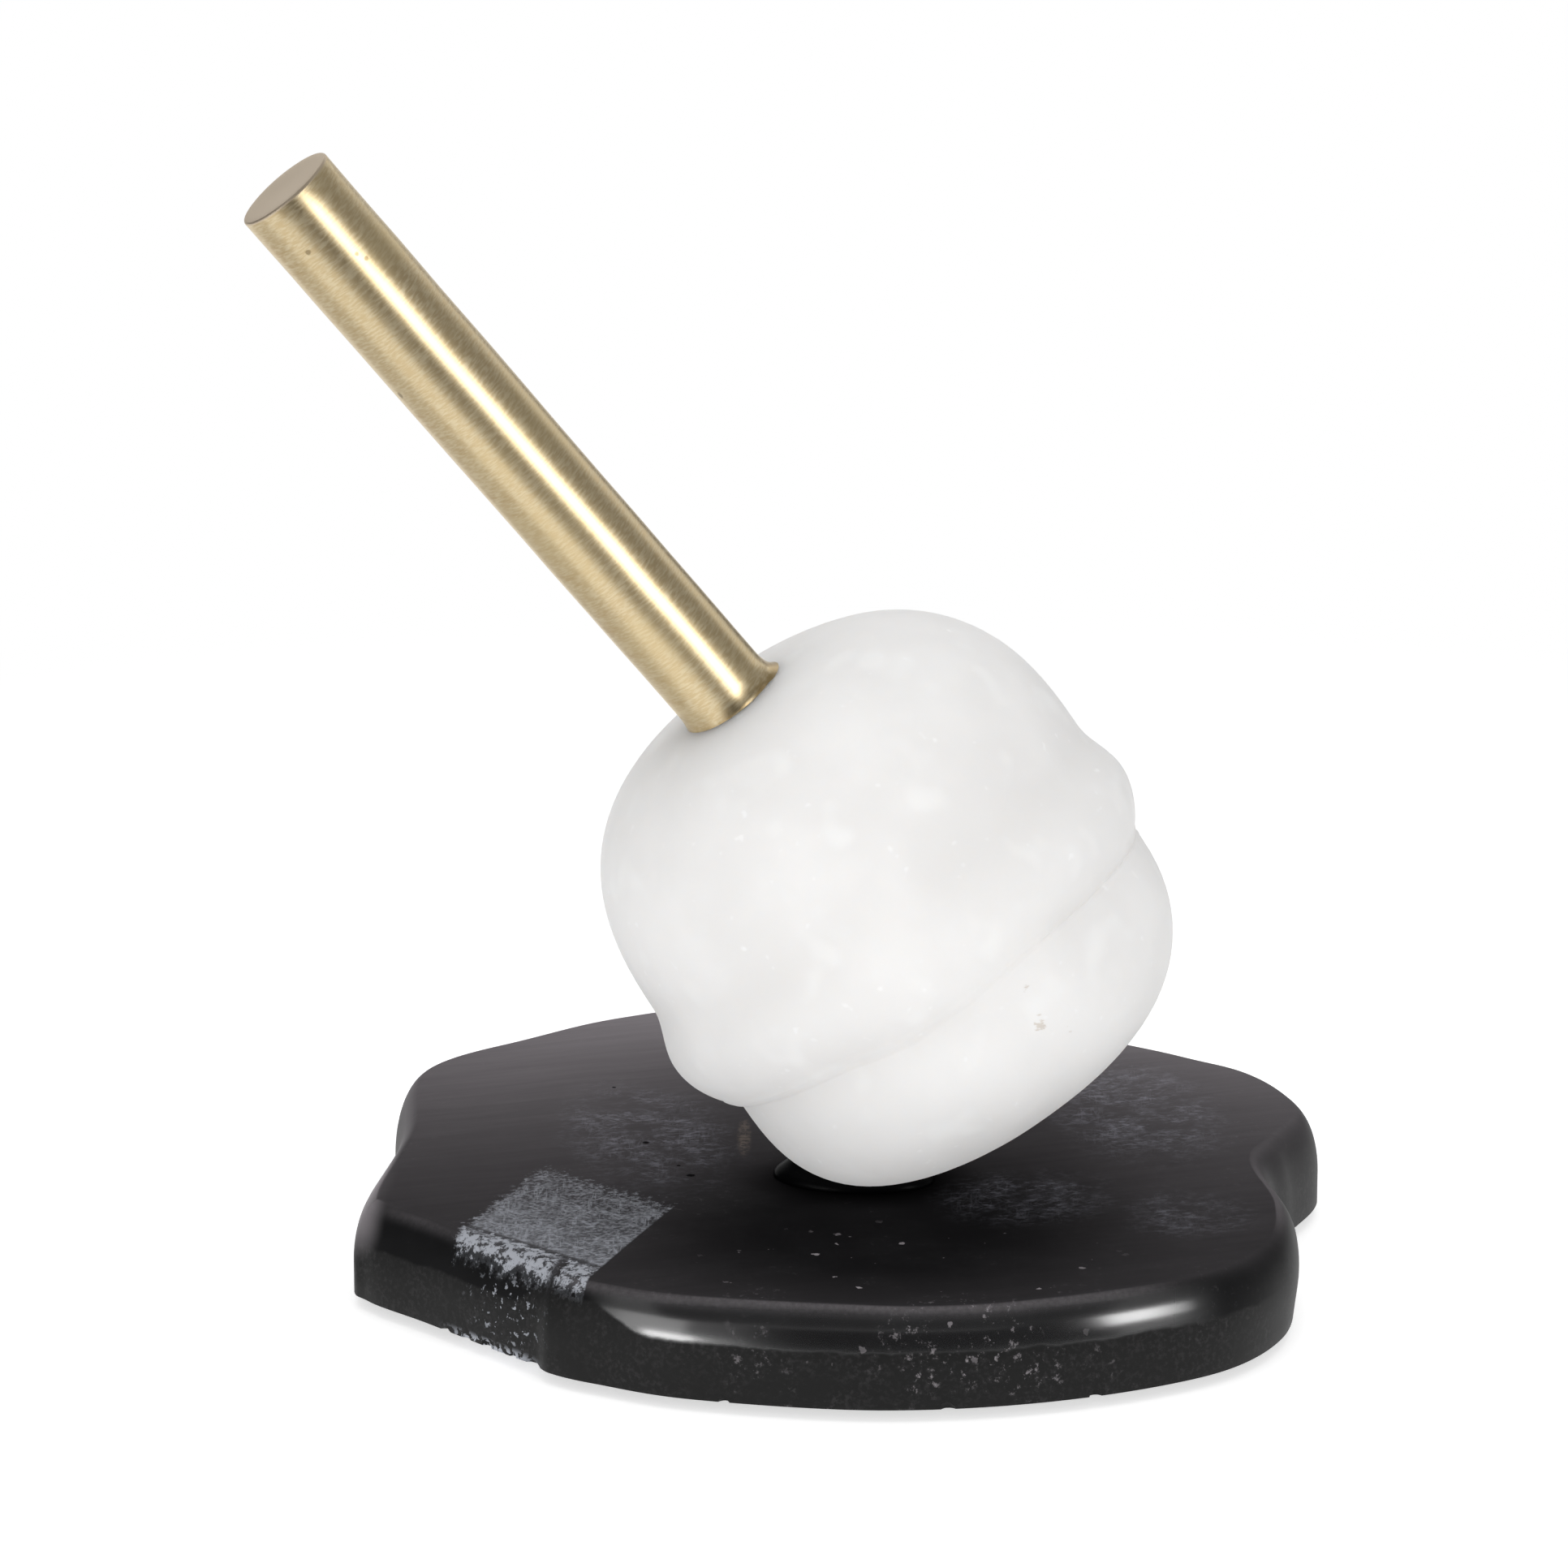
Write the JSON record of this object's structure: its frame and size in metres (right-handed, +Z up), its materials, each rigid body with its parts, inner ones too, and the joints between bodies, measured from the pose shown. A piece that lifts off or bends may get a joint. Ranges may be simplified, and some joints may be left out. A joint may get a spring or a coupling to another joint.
{
  "type": "lollipop ornament",
  "caption": "Tabletop ornament: a carved white marble lollipop head with a leaning brass stick, bonded and doweled to a puddle-shaped black marble slab on felt.",
  "frame": {"origin": "middle of the felt underside, on the surface that the ornament stands on", "axes": "+Z up; the head and the stick lean towards -X; -Y is the front, the side that the picture shows"},
  "size_m": [0.1277, 0.1159, 0.1417],
  "materials": {
    "white_marble": "honed",
    "black_marble": "honed top, polished edge",
    "brass": "brushed, lightly tarnished",
    "steel": "bright drawn",
    "epoxy": "glossy black",
    "felt": "felted"
  },
  "bodies": {
    "root": {"felt_underlay": "felt", "base_slab": "black_marble", "adhesive_bead": "epoxy", "lollipop_head": "white_marble", "stick": "brass", "stick_dowel": "steel", "base_dowel": "steel", "stick_dowel_low_adhesive": "epoxy", "stick_dowel_high_adhesive": "epoxy", "base_dowel_low_adhesive": "epoxy", "base_dowel_high_adhesive": "epoxy"}
  },
  "joints": []
}
